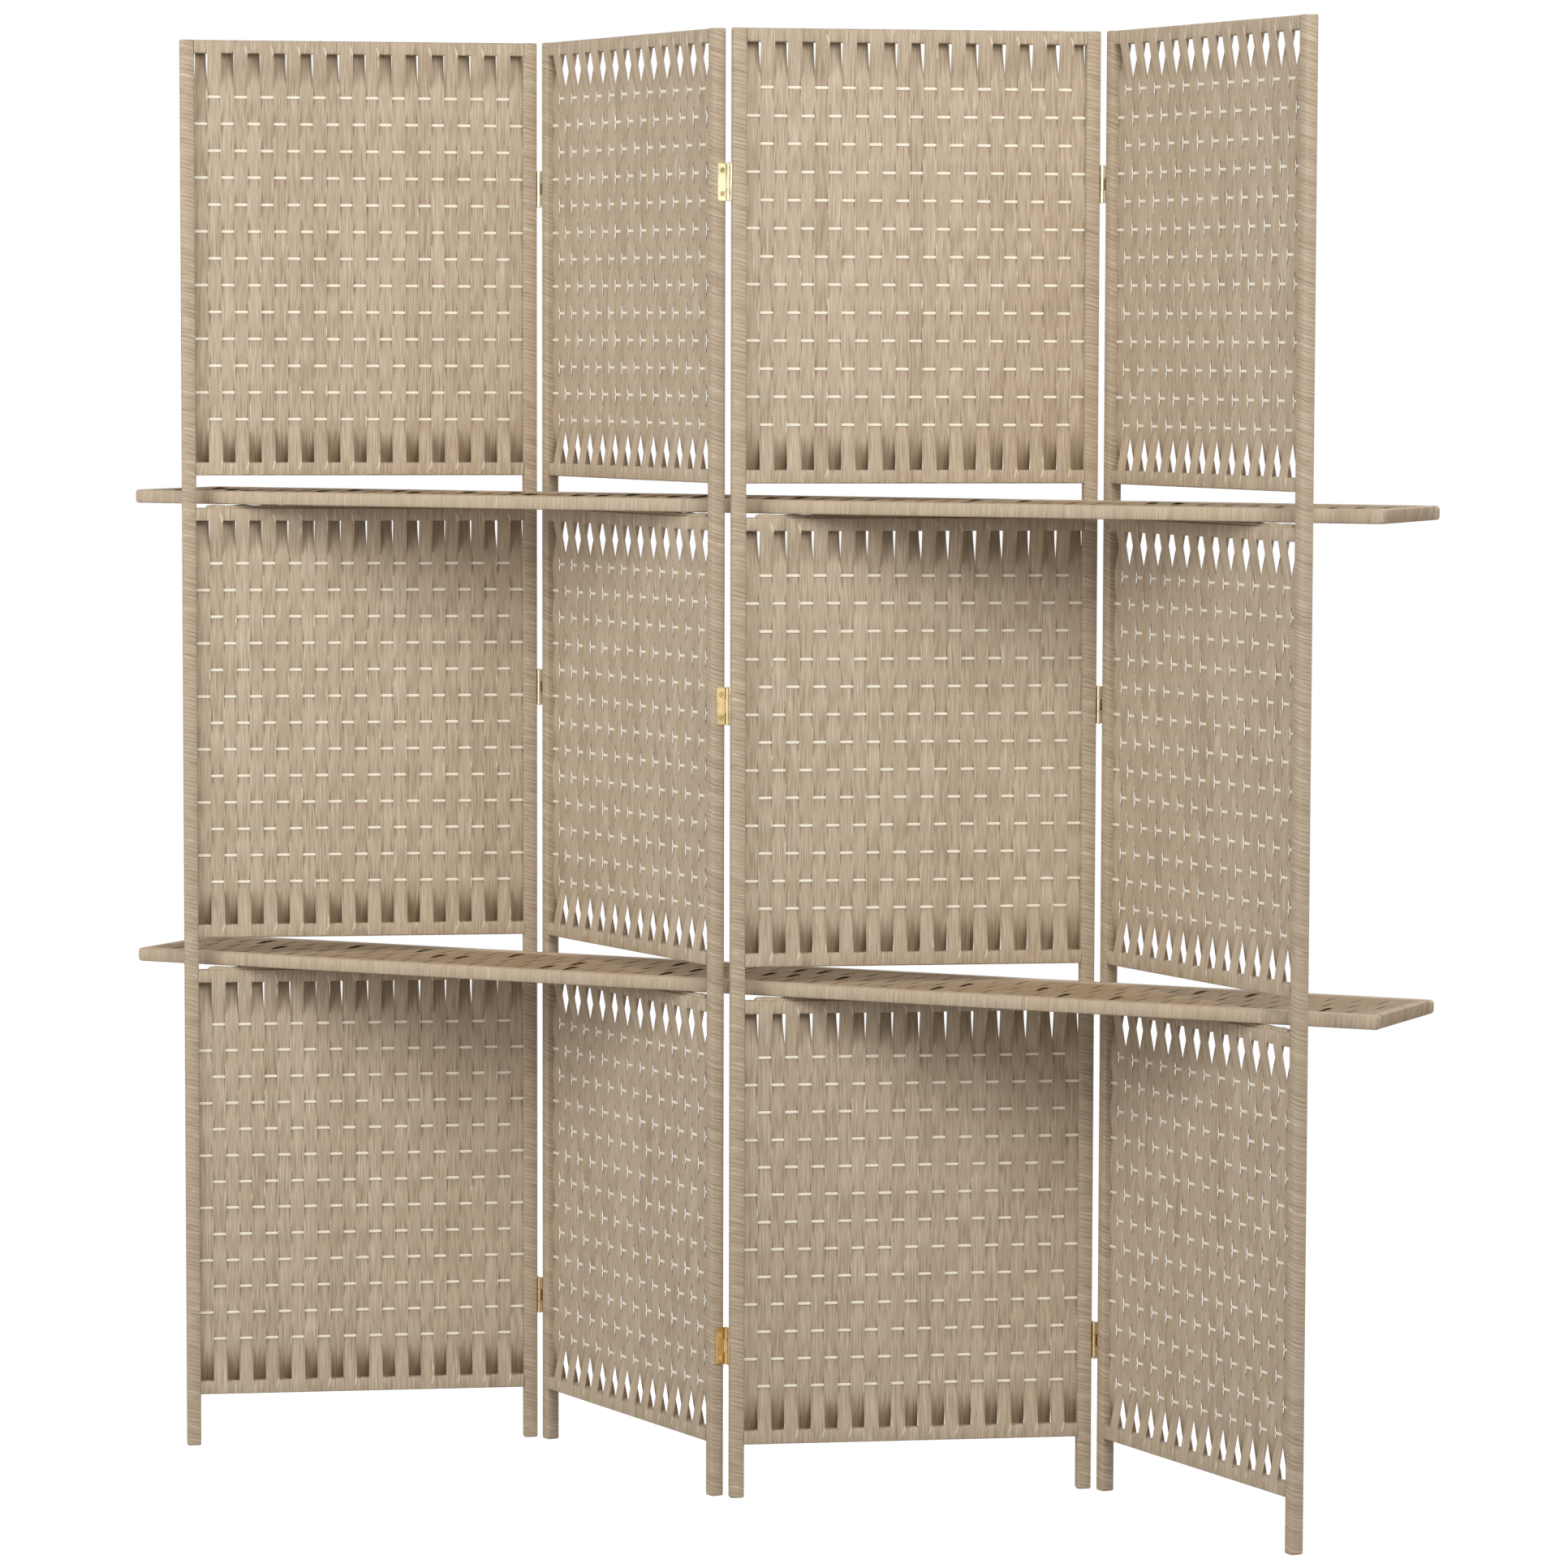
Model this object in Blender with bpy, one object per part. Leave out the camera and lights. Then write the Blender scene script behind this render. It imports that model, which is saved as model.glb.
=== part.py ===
"""Folding screen of four woven panels, with two long shelves laid through its slots.

Lengths are in metres. The screen stands on z = 0 and is seen from -Y. The panels zigzag along X, and
both shelves run straight along X through the middle of every panel.
"""

import math

import bmesh
import bpy
from mathutils import Matrix, Vector

# One panel, from the floor up: a foot, then three woven sections with a slot between them.
foot_height = 0.0656
field_height = 0.5168
rail_height = 0.017
slot_height = 0.041
section_names = ("lower", "middle", "upper")
section_height = field_height + 2 * rail_height
panel_height = foot_height + 3 * section_height + 2 * slot_height

panel_width = 0.454
frame_depth = 0.017
stile_face = 0.018
inner_width = panel_width - 2 * stile_face
stile_round = 0.002
rail_round = 0.0015

# The cord stands proud in a bead along each rail that carries a shelf.
bead_height = 0.004
bead_width = 0.010
bead_end_gap = 0.012
bead_round = 0.002

# Pieces that touch keep this much air between their surfaces.
fit_gap = 0.0003

# The weave of one field: level sticks, and upright ribbons that run from rail to rail.
stick_rows = 13
stick_pitch = 0.034
stick_thickness = 0.003
ribbon_columns = 25
ribbon_thickness = 0.0007
ribbon_spacing = 0.0008
ribbon_tuck = 0.004
ribbon_pitch = inner_width / ribbon_columns
ribbon_width = ribbon_pitch - ribbon_spacing

# Fold of the panels, each measured from the shelves' direction. The last one stands a little steeper.
fold_angle = math.radians(34.3)
last_fold_angle = math.radians(36.6)
headings = (fold_angle, -fold_angle, fold_angle, -last_fold_angle)

# Hinges: the barrel is on the side of the two faces that close on each other.
hinge_height = 0.046
hinge_height_shares = (0.104, 0.543, 0.897)
hinge_names = ("bottom", "middle", "top")
hinge_line_gap = 0.004
barrel_offset = 0.002
barrel_radius = 0.0024
pin_radius = 0.001
leaf_thickness = 0.0012
leaf_width = 0.012
barrel_sides = 8
pin_sides = 6
cut_overrun = 0.002
barrel_at_front = 1
barrel_at_rear = -1
barrel_sides_in_turn = (barrel_at_front, barrel_at_rear, barrel_at_front)

# Shelves: a frame of four rails around a woven deck.
shelf_length = 1.700
shelf_depth = 0.198
shelf_thickness = 0.017
shelf_rail_width = 0.017
shelf_deck_thickness = 0.006
shelf_deck_drop = 0.001
shelf_round = 0.003
# The shelves are pushed this far towards the first panel.
shelf_shift = 0.009
shelf_names = ("lower", "upper")

# Looks: base colour, roughness, metallic.
wrap_look = ((0.51, 0.40, 0.26), 0.62, 0.0)
ribbon_look = ((0.55, 0.44, 0.30), 0.68, 0.0)
brass_look = ((0.70, 0.48, 0.16), 0.28, 1.0)


def clear_scene():
    for old in list(bpy.data.objects):
        bpy.data.objects.remove(old, do_unlink=True)


def new_collection(name):
    collection = bpy.data.collections.new(name)
    bpy.context.scene.collection.children.link(collection)
    return collection


def new_material(name, look):
    colour, roughness, metallic = look
    material = bpy.data.materials.new(name)
    material.use_nodes = True
    shader = material.node_tree.nodes["Principled BSDF"]
    shader.inputs["Base Color"].default_value = (*colour, 1.0)
    shader.inputs["Roughness"].default_value = roughness
    shader.inputs["Metallic"].default_value = metallic
    return material


def add_block(bm, size, centre):
    place = Matrix.Translation(centre) @ Matrix.Diagonal((*size, 1.0))
    bmesh.ops.create_cube(bm, size=1.0, matrix=place)


def add_rod(bm, radius, length, sides, height=0.0):
    place = Matrix.Translation((0.0, 0.0, height))
    bmesh.ops.create_cone(
        bm,
        cap_ends=True,
        segments=sides,
        radius1=radius,
        radius2=radius,
        depth=length,
        matrix=place,
    )


def finished_mesh(name, bm, rounding=0.0):
    if rounding > 0.0:
        bmesh.ops.bevel(bm, geom=list(bm.edges), offset=rounding, segments=1, affect="EDGES")
    mesh = bpy.data.meshes.new(name)
    bm.to_mesh(mesh)
    bm.free()
    return mesh


def block_mesh(name, size, rounding=0.0):
    bm = bmesh.new()
    add_block(bm, size, (0.0, 0.0, 0.0))
    return finished_mesh(name, bm, rounding)


def combined(name, base, steps):
    """The mesh that is left when each (operation, mesh) of steps has been applied to base in turn."""
    work = bpy.data.objects.new(name, base)
    bench.objects.link(work)
    tools = []
    for operation, mesh in steps:
        tool = bpy.data.objects.new(f"{name}_{operation.lower()}", mesh)
        bench.objects.link(tool)
        tool.hide_render = True
        tool.display_type = "WIRE"
        modifier = work.modifiers.new(operation.title(), "BOOLEAN")
        modifier.operation = operation
        modifier.solver = "EXACT"
        modifier.object = tool
        tools.append(tool)
    bpy.context.view_layer.update()
    evaluated = work.evaluated_get(bpy.context.evaluated_depsgraph_get())
    mesh = bpy.data.meshes.new_from_object(evaluated)
    mesh.name = name
    for tool in (work, *tools):
        bpy.data.objects.remove(tool, do_unlink=True)
    return mesh


def stick_heights():
    """Stick rows above the middle of a field, top and bottom margins alike."""
    return [(row - (stick_rows - 1) / 2) * stick_pitch for row in range(stick_rows)]


def ribbon_places():
    """Middle of each ribbon across the field and in depth: in front of and behind the sticks by turns."""
    free_offset = (stick_thickness + ribbon_thickness) / 2 + fit_gap
    places = []
    for column in range(ribbon_columns):
        across = (column + 0.5) * ribbon_pitch - inner_width / 2
        in_front = column % 2 == 0
        offset = free_offset
        if column == 0:
            # The first ribbon is bound onto every stick, half its thickness into them.
            offset = stick_thickness / 2
        places.append((across, -offset if in_front else offset))
    return places


def round_lengthwise(bm, width, rounding):
    """Rounds the long edges of the blocks in bm, which are at most this width across."""
    long_edges = [e for e in bm.edges if abs(e.verts[0].co.x - e.verts[1].co.x) > width]
    bmesh.ops.bevel(bm, geom=long_edges, offset=rounding, segments=1, affect="EDGES")


def bead_mesh():
    """The bead of cord on a section's upper rail. Its lower half lies inside the rail."""
    bead = bmesh.new()
    length = inner_width - 2 * bead_end_gap
    height = section_height / 2
    add_block(bead, (length, bead_width, 2 * bead_height), (0.0, 0.0, height))
    round_lengthwise(bead, bead_width, bead_round)
    return finished_mesh("bead", bead)


def woven_section_mesh(carries_shelf):
    """A section's two rails and its sticks, with the ribbons tucked into both rails."""
    section_width = inner_width - 2 * fit_gap
    rail_middle = (field_height + rail_height) / 2
    rails = bmesh.new()
    for side in (-1, 1):
        add_block(
            rails,
            (section_width, frame_depth, rail_height),
            (0.0, 0.0, side * rail_middle),
        )
    round_lengthwise(rails, frame_depth, rail_round)
    for height in stick_heights():
        add_block(
            rails, (section_width, stick_thickness, stick_thickness), (0.0, 0.0, height)
        )
    ribbons = bmesh.new()
    for across, depth in ribbon_places():
        add_block(
            ribbons,
            (ribbon_width, ribbon_thickness, field_height + 2 * ribbon_tuck),
            (across, depth, 0.0),
        )
    steps = [("UNION", finished_mesh("ribbons", ribbons))]
    if carries_shelf:
        steps.append(("UNION", bead_mesh()))
    return combined("woven_section", finished_mesh("rails_and_sticks", rails), steps)


def leaf_mesh(name, stile_side, barrel_side, knuckle_rows):
    """A hinge leaf about its pin's axis. Its stile is on the stile_side of X."""
    knuckle_step = hinge_height / 3
    knuckle_length = knuckle_step - fit_gap
    leaf_across = stile_side * (hinge_line_gap / 2 - fit_gap - leaf_thickness / 2)
    clear_of_barrel = barrel_radius + fit_gap

    plate = bmesh.new()
    plate_middle = barrel_side * (clear_of_barrel + leaf_width / 2)
    add_block(
        plate, (leaf_thickness, leaf_width, hinge_height), (leaf_across, plate_middle, 0.0)
    )

    tabs = bmesh.new()
    knuckles = bmesh.new()
    tab_width = clear_of_barrel + leaf_thickness
    for row in knuckle_rows:
        height = row * knuckle_step
        add_block(
            tabs,
            (leaf_thickness, tab_width, knuckle_length),
            (leaf_across, barrel_side * tab_width / 2, height),
        )
        add_rod(knuckles, barrel_radius, knuckle_length, barrel_sides, height)

    bore = bmesh.new()
    add_rod(bore, pin_radius + fit_gap, hinge_height + 2 * cut_overrun, pin_sides)
    steps = [
        ("UNION", finished_mesh("tabs", tabs)),
        ("UNION", finished_mesh("knuckles", knuckles)),
        ("DIFFERENCE", finished_mesh("bore", bore)),
    ]
    return combined(name, finished_mesh("plate", plate), steps)


def pin_mesh():
    bm = bmesh.new()
    add_rod(bm, pin_radius, hinge_height, pin_sides)
    return finished_mesh("hinge_pin", bm)


def along(heading):
    return Vector((math.cos(heading), math.sin(heading), 0.0))


def front_of(heading):
    return Vector((math.sin(heading), -math.cos(heading), 0.0))


def layout():
    """Panel centres and hinge lines on the floor. The first three panels are centred on y = 0."""
    reach = (panel_width + hinge_line_gap) / 2
    lift = frame_depth / 2 + barrel_offset
    centres = [Vector((0.0, 0.0, 0.0))]
    lines = []
    for joint, side in enumerate(barrel_sides_in_turn):
        here, there = headings[joint], headings[joint + 1]
        line = centres[joint] + reach * along(here) + side * lift * front_of(here)
        lines.append(line)
        centres.append(line + reach * along(there) - side * lift * front_of(there))
    middle = Vector(((centres[0].x + centres[-1].x) / 2 - shelf_shift, 0.0, 0.0))
    return [c - middle for c in centres], [h - middle for h in lines]


def add_pivot(name, location, heading):
    pivot = bpy.data.objects.new(name, None)
    screen.objects.link(pivot)
    pivot.location = location
    pivot.rotation_euler = (0.0, 0.0, heading)
    return pivot


def add_part(name, mesh, pivot, offset, look):
    part = bpy.data.objects.new(name, mesh)
    screen.objects.link(part)
    part.parent = pivot
    part.location = offset
    if not mesh.materials:
        mesh.materials.append(None)
    part.material_slots[0].link = "OBJECT"
    part.material_slots[0].material = new_material(f"{name}_finish", look)
    return part


def section_middle(level):
    """Height of the middle of a section, level 0 being the lowest."""
    return foot_height + section_height / 2 + level * (section_height + slot_height)


def add_panel(number, pivot, to_centre, stile, sections):
    half_stile = (panel_width - stile_face) / 2
    for side, name in ((-1, "left"), (1, "right")):
        offset = to_centre + Vector((side * half_stile, 0.0, panel_height / 2))
        add_part(f"stile_{name}_{number}", stile, pivot, offset, wrap_look)
    for level, name in enumerate(section_names):
        offset = to_centre + Vector((0.0, 0.0, section_middle(level)))
        add_part(f"{name}_woven_section_{number}", sections[level], pivot, offset, ribbon_look)


def add_hinges(number, left, right, barrel_side, pin):
    """The three hinges between two panels. left and right are (pivot, place of the hinge line in it)."""
    name = f"hinge_{number}_{number + 1}"
    # Seen from the hinge line, the left panel's stile is towards -X and the right one's towards +X.
    left_leaf = leaf_mesh(f"{name}_left_leaf", -1, barrel_side, (-1, 1))
    right_leaf = leaf_mesh(f"{name}_right_leaf", 1, barrel_side, (0,))
    for share, place in zip(hinge_height_shares, hinge_names):
        height = Vector((0.0, 0.0, share * panel_height))
        add_part(f"{name}_{place}_left_leaf", left_leaf, left[0], left[1] + height, brass_look)
        add_part(f"{name}_{place}_right_leaf", right_leaf, right[0], right[1] + height, brass_look)
        add_part(f"{name}_{place}_pin", pin, left[0], left[1] + height, brass_look)


def add_shelf(name, pivot, to_centre, base):
    middle = to_centre + Vector((0.0, 0.0, base + shelf_thickness / 2))
    long_rail = block_mesh(
        f"{name}_long_rail", (shelf_length, shelf_rail_width, shelf_thickness), shelf_round
    )
    end_length = shelf_depth - 2 * (shelf_rail_width + fit_gap)
    end_rail = block_mesh(
        f"{name}_end_rail", (shelf_rail_width, end_length, shelf_thickness), shelf_round
    )
    deck_length = shelf_length - 2 * (shelf_rail_width + fit_gap)
    deck = block_mesh(f"{name}_deck", (deck_length, end_length, shelf_deck_thickness))
    # The deck lies just under the tops of its rails.
    deck_middle = (shelf_thickness - shelf_deck_thickness) / 2 - shelf_deck_drop
    to_deck = Vector((0.0, 0.0, deck_middle))
    to_long_rail = Vector((0.0, (shelf_depth - shelf_rail_width) / 2, 0.0))
    to_end_rail = Vector(((shelf_length - shelf_rail_width) / 2, 0.0, 0.0))
    add_part(f"{name}_front_rail", long_rail, pivot, middle - to_long_rail, wrap_look)
    add_part(f"{name}_rear_rail", long_rail, pivot, middle + to_long_rail, wrap_look)
    add_part(f"{name}_left_end", end_rail, pivot, middle - to_end_rail, wrap_look)
    add_part(f"{name}_right_end", end_rail, pivot, middle + to_end_rail, wrap_look)
    add_part(f"{name}_deck", deck, pivot, middle + to_deck, ribbon_look)


def build_screen():
    centres, lines = layout()
    stile = block_mesh("stile", (stile_face, frame_depth, panel_height), stile_round)
    carrying, plain = woven_section_mesh(True), woven_section_mesh(False)
    sections = [carrying] * len(shelf_names) + [plain]
    pin = pin_mesh()

    # Each moving panel turns about a hinge line. The second panel carries the others.
    pivot_places = (lines[0], centres[1], lines[1], lines[2])
    pivots = []
    for index, place in enumerate(pivot_places):
        pivots.append(add_pivot(f"panel_{index + 1}_pivot", place, headings[index]))

    def in_panel(index, point):
        turn = Matrix.Rotation(-headings[index], 3, "Z")
        return turn @ (point - pivot_places[index])

    for index, pivot in enumerate(pivots):
        add_panel(index + 1, pivot, in_panel(index, centres[index]), stile, sections)
    for joint, barrel_side in enumerate(barrel_sides_in_turn):
        left = (pivots[joint], in_panel(joint, lines[joint]))
        right = (pivots[joint + 1], in_panel(joint + 1, lines[joint]))
        add_hinges(joint + 1, left, right, barrel_side, pin)

    # A shelf turns about the middle of the second panel and keeps its own direction.
    for level, name in enumerate(shelf_names):
        base = section_middle(level) + section_height / 2 + bead_height + fit_gap
        pivot = add_pivot(f"{name}_shelf_pivot", centres[1], 0.0)
        add_shelf(f"{name}_shelf", pivot, -centres[1], base)


clear_scene()
screen = new_collection("Folding screen with shelves")
bench = new_collection("Cutters")
build_screen()
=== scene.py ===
# Looks of the woven folding screen with two long shelves.
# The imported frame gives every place. All lengths are in metres.
import math

import bmesh
import bpy
from mathutils import Matrix, Vector


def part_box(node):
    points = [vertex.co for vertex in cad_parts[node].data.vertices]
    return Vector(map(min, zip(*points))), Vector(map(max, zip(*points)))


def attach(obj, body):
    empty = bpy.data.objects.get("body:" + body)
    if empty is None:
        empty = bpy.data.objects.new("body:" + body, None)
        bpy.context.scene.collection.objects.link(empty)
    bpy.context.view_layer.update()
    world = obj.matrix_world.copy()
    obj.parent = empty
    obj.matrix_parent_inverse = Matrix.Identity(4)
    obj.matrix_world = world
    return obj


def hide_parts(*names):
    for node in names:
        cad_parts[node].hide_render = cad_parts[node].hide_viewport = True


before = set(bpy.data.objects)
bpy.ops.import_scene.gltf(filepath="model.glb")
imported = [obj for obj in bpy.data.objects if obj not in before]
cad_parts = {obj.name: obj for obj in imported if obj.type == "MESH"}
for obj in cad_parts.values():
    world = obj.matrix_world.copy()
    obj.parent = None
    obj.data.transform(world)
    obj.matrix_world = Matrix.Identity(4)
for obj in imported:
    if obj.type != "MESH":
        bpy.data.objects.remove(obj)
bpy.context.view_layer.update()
panelNumbers = (1, 2, 3, 4)
levelNames = ("lower", "middle", "upper")
shelfNames = ("lower_shelf", "upper_shelf")
quarter = math.pi / 2
print("frame loaded:", len(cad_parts), "nodes")


def middleOf(node):
    low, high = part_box(node)
    return (low + high) / 2


def heightOf(node):
    low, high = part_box(node)
    return high.z - low.z


def panelPlace(number):
    # A panel lies along local X, faces local -Y, and its middle line stands on the floor
    left, right = middleOf(f"stile_left_{number}"), middleOf(f"stile_right_{number}")
    heading = math.atan2(right.y - left.y, right.x - left.x)
    middle = (left + right) / 2
    return Matrix.Translation((middle.x, middle.y, 0)) @ Matrix.Rotation(heading, 4, "Z")


panelPlaces = {number: panelPlace(number) for number in panelNumbers}


def addObject(name, data):
    item = bpy.data.objects.new(name, data)
    bpy.context.scene.collection.objects.link(item)
    return item


def plainMesh(item):
    evaluated = item.evaluated_get(bpy.context.evaluated_depsgraph_get())
    return bpy.data.meshes.new_from_object(evaluated)


# Node building, for Geometry Nodes and for materials alike. New nodes go into the tree being built
building = {"tree": None}
nodeGrid = {"columns": 12, "width": 180, "height": 220}


def feed(socket, value):
    if isinstance(value, bpy.types.NodeSocket):
        building["tree"].links.new(value, socket)
    else:
        socket.default_value = value


def addNode(kind, inputs=None, **settings):
    nodes = building["tree"].nodes
    node = nodes.new(kind)
    row, column = divmod(len(nodes), nodeGrid["columns"])
    node.location = (nodeGrid["width"] * column, -nodeGrid["height"] * row)
    for name, value in settings.items():
        setattr(node, name, value)
    for name, value in (inputs or {}).items():
        feed(node.inputs[name], value)
    return node


def shape(kind, inputs=None, **settings):
    return addNode(f"GeometryNode{kind}", inputs, **settings).outputs[0]


def do(operation, *values):
    # One operation of a Math node
    return addNode("ShaderNodeMath", dict(enumerate(values)), operation=operation).outputs[0]


def times(*values):
    result = values[0]
    for value in values[1:]:
        result = do("MULTIPLY", result, value)
    return result


def vector(x=0.0, y=0.0, z=0.0):
    return addNode("ShaderNodeCombineXYZ", {"X": x, "Y": y, "Z": z}).outputs[0]


def separated(place):
    return addNode("ShaderNodeSeparateXYZ", {"Vector": place}).outputs


def lerp(start, end, share):
    gap = do("SUBTRACT", end, start)
    return do("MULTIPLY_ADD", gap, share, start)


def ramp(value, fromLow, fromHigh, toLow=0.0, toHigh=1.0, smooth=False):
    inputs = {"Value": value, "From Min": fromLow, "From Max": fromHigh, "To Min": toLow, "To Max": toHigh}
    kind = "SMOOTHSTEP" if smooth else "LINEAR"
    return addNode("ShaderNodeMapRange", inputs, interpolation_type=kind).outputs["Result"]


def noise(place, scale=1.0, detail=2.0):
    inputs = {"Vector": place, "Scale": scale, "Detail": detail}
    return addNode("ShaderNodeTexNoise", inputs).outputs[0]


def chanceOf(number):
    # A fixed random value from 0 to 1 for each number
    node = addNode("ShaderNodeTexWhiteNoise", {"W": number}, noise_dimensions="1D")
    return node.outputs["Value"]


def newTree(name, treeType, inputs, outputs):
    # An input's kind follows from its value, and None stands for a material
    kinds = {int: "Int", float: "Float", type(None): "Material"}
    tree = building["tree"] = bpy.data.node_groups.new(name, treeType)
    for label, value in inputs.items():
        kind = kinds[type(value)]
        socket = tree.interface.new_socket(label, in_out="INPUT", socket_type=f"NodeSocket{kind}")
        if value is not None:
            socket.default_value = value
    for label, kind in outputs.items():
        tree.interface.new_socket(label, in_out="OUTPUT", socket_type=f"NodeSocket{kind}")
    given = tree.nodes.new("NodeGroupInput").outputs
    result = tree.nodes.new("NodeGroupOutput").inputs
    return given, result


def storeValue(geometry, name, value):
    inputs = {"Geometry": geometry, "Name": name, "Value": value}
    return shape("StoreNamedAttribute", inputs, data_type="FLOAT")


def readValue(name):
    return shape("InputNamedAttribute", {"Name": name}, data_type="FLOAT")


# Shared shader group: the fibres of a flat ribbon, by its across, along and number values
middleTone = 0.5
fibreLook = {"fineness": 2.7, "fineRun": 1.6, "numberStep": 3.17, "patchRun": 24.0, "patchRow": 4.0,
             "fineShare": 0.9, "patchShare": 0.22}


def fibreGroup():
    look = fibreLook
    given, result = newTree(
        "fibreTone", "ShaderNodeTree",
        {"Across": 0.0, "Along": 0.0, "Number": 0.0, "Streaks": 9.0, "Run": 24.0, "Contrast": 1.0,
         "Own Tone": 0.1}, {"Tone": "Float", "Height": "Float"})
    run = times(given["Along"], given["Run"])
    broad = times(given["Across"], given["Streaks"])
    fine = times(broad, look["fineness"])
    number = times(given["Number"], look["numberStep"])
    broadFibre = noise(vector(broad, run, number), detail=3.0)
    fineRun = times(run, look["fineRun"])
    fineFibre = noise(vector(fine, fineRun, number), detail=2.0)
    patchRun = times(given["Along"], look["patchRun"])
    patch = noise(vector(number, patchRun, look["patchRow"]), detail=1.0)
    own = chanceOf(given["Number"])
    tone = do("SUBTRACT", broadFibre, middleTone)
    shares = ((fineFibre, look["fineShare"]), (patch, look["patchShare"]), (own, given["Own Tone"]))
    for value, share in shares:
        tone = do("MULTIPLY_ADD", do("SUBTRACT", value, middleTone), share, tone)
    tone = do("MULTIPLY_ADD", tone, given["Contrast"], middleTone)
    feed(result["Tone"], tone)
    feed(result["Height"], do("ADD", broadFibre, fineFibre))
    return building["tree"]


fibreTone = fibreGroup()


def newMaterial(name, settings):
    material = bpy.data.materials.new(name)
    material.use_nodes = True
    building["tree"] = material.node_tree
    shader = material.node_tree.nodes["Principled BSDF"]
    for socket, value in settings.items():
        feed(shader.inputs[socket], value)
    return material, shader


def attribute(name):
    return addNode("ShaderNodeAttribute", attribute_name=name).outputs["Fac"]


def objectPlace():
    return addNode("ShaderNodeTexCoord").outputs["Object"]


def fibresOf(across, along, number, **values):
    inputs = {"Across": across, "Along": along, "Number": number, **values}
    return addNode("ShaderNodeGroup", inputs, node_tree=fibreTone).outputs


def toneColour(tone, stops):
    node = addNode("ShaderNodeValToRGB", {"Fac": tone})
    elements = node.color_ramp.elements
    while len(elements) < len(stops):
        elements.new(0.5)
    for element, (place, colour) in zip(elements, stops):
        element.position = place
        element.color = (*colour, 1.0)
    return node.outputs["Color"]


def mixColour(first, second, share, blend="MIX"):
    # Inputs 6 and 7 and output 2 of this node are its colours
    first, second = ((*side, 1.0) if isinstance(side, tuple) else side for side in (first, second))
    inputs = {"Factor": share, 6: first, 7: second}
    return addNode("ShaderNodeMix", inputs, data_type="RGBA", blend_type=blend).outputs[2]


def finishShader(shader, colour, height, bump):
    strength, distance = bump
    node = addNode("ShaderNodeBump", {"Height": height, "Strength": strength, "Distance": distance})
    feed(shader.inputs["Normal"], node.outputs["Normal"])
    feed(shader.inputs["Base Color"], colour)


plainTint = (1.0, 1.0, 1.0)
fibreBump = (0.3, 0.0004)        # strength and distance
fibreColours = {
    "stops": ((0.08, (0.285, 0.208, 0.137)),
              (0.32, (0.412, 0.318, 0.221)),
              (0.52, (0.492, 0.391, 0.279)),
              (0.74, (0.566, 0.463, 0.344)),
              (0.94, (0.680, 0.580, 0.455))),
    "pale": (0.80, 0.71, 0.57),      # painted highlight on strip edges, on folds and on wound turns
    "shade": (0.60, 0.54, 0.47),     # painted shade: what is left of the colour deep between the strips
    # painted shade in the seams between wound turns
    "seam": (0.50, 0.43, 0.36),
}


def fibreColour(tone, tint):
    stops = [(place, tuple(part * share for part, share in zip(colour, tint)))
             for place, colour in fibreColours["stops"]]
    return toneColour(tone, stops)


# Ribbons. Across runs from -1 at the left edge to 1 at the right
# In each look the last four values set the painted shade at the crossings and behind the rails
ribbonLooks = {
    "panel": {"tint": plainTint, "specular": 0.25, "contrast": 1.4, "paleEdges": 0.6,
              "cutEdge": 0.6, "foldShare": 0.65, "dashDepth": 0.6, "dashStart": 0.55,
              "dashEnd": 0.85, "shade": fibreColours["shade"]},
    # The deck's darker tint is partly the deck's own colour and partly painted shade
    "deck": {"tint": (0.77, 0.71, 0.635), "specular": 0.03, "contrast": 1.0, "paleEdges": 0.1,
             "cutEdge": 0.0, "foldShare": 0.0, "dashDepth": 0.85, "dashStart": 0.2,
             "dashEnd": 0.5, "shade": (0.26, 0.21, 0.16)},
}
ribbonEdges = {"roughness": 0.7, "turnRun": 26.0, "turnRow": 9.0, "turned": (0.62, 0.68),
               "rim": (0.72, 0.84), "cutFrom": 0.985, "foldStart": 0.95, "foldSlope": -0.55,
               "foldWidth": (0.04, 0.2), "foldPale": 0.75, "foldOn": (0.02, 0.06), "foldOff": (0.5, 0.8)}


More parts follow.
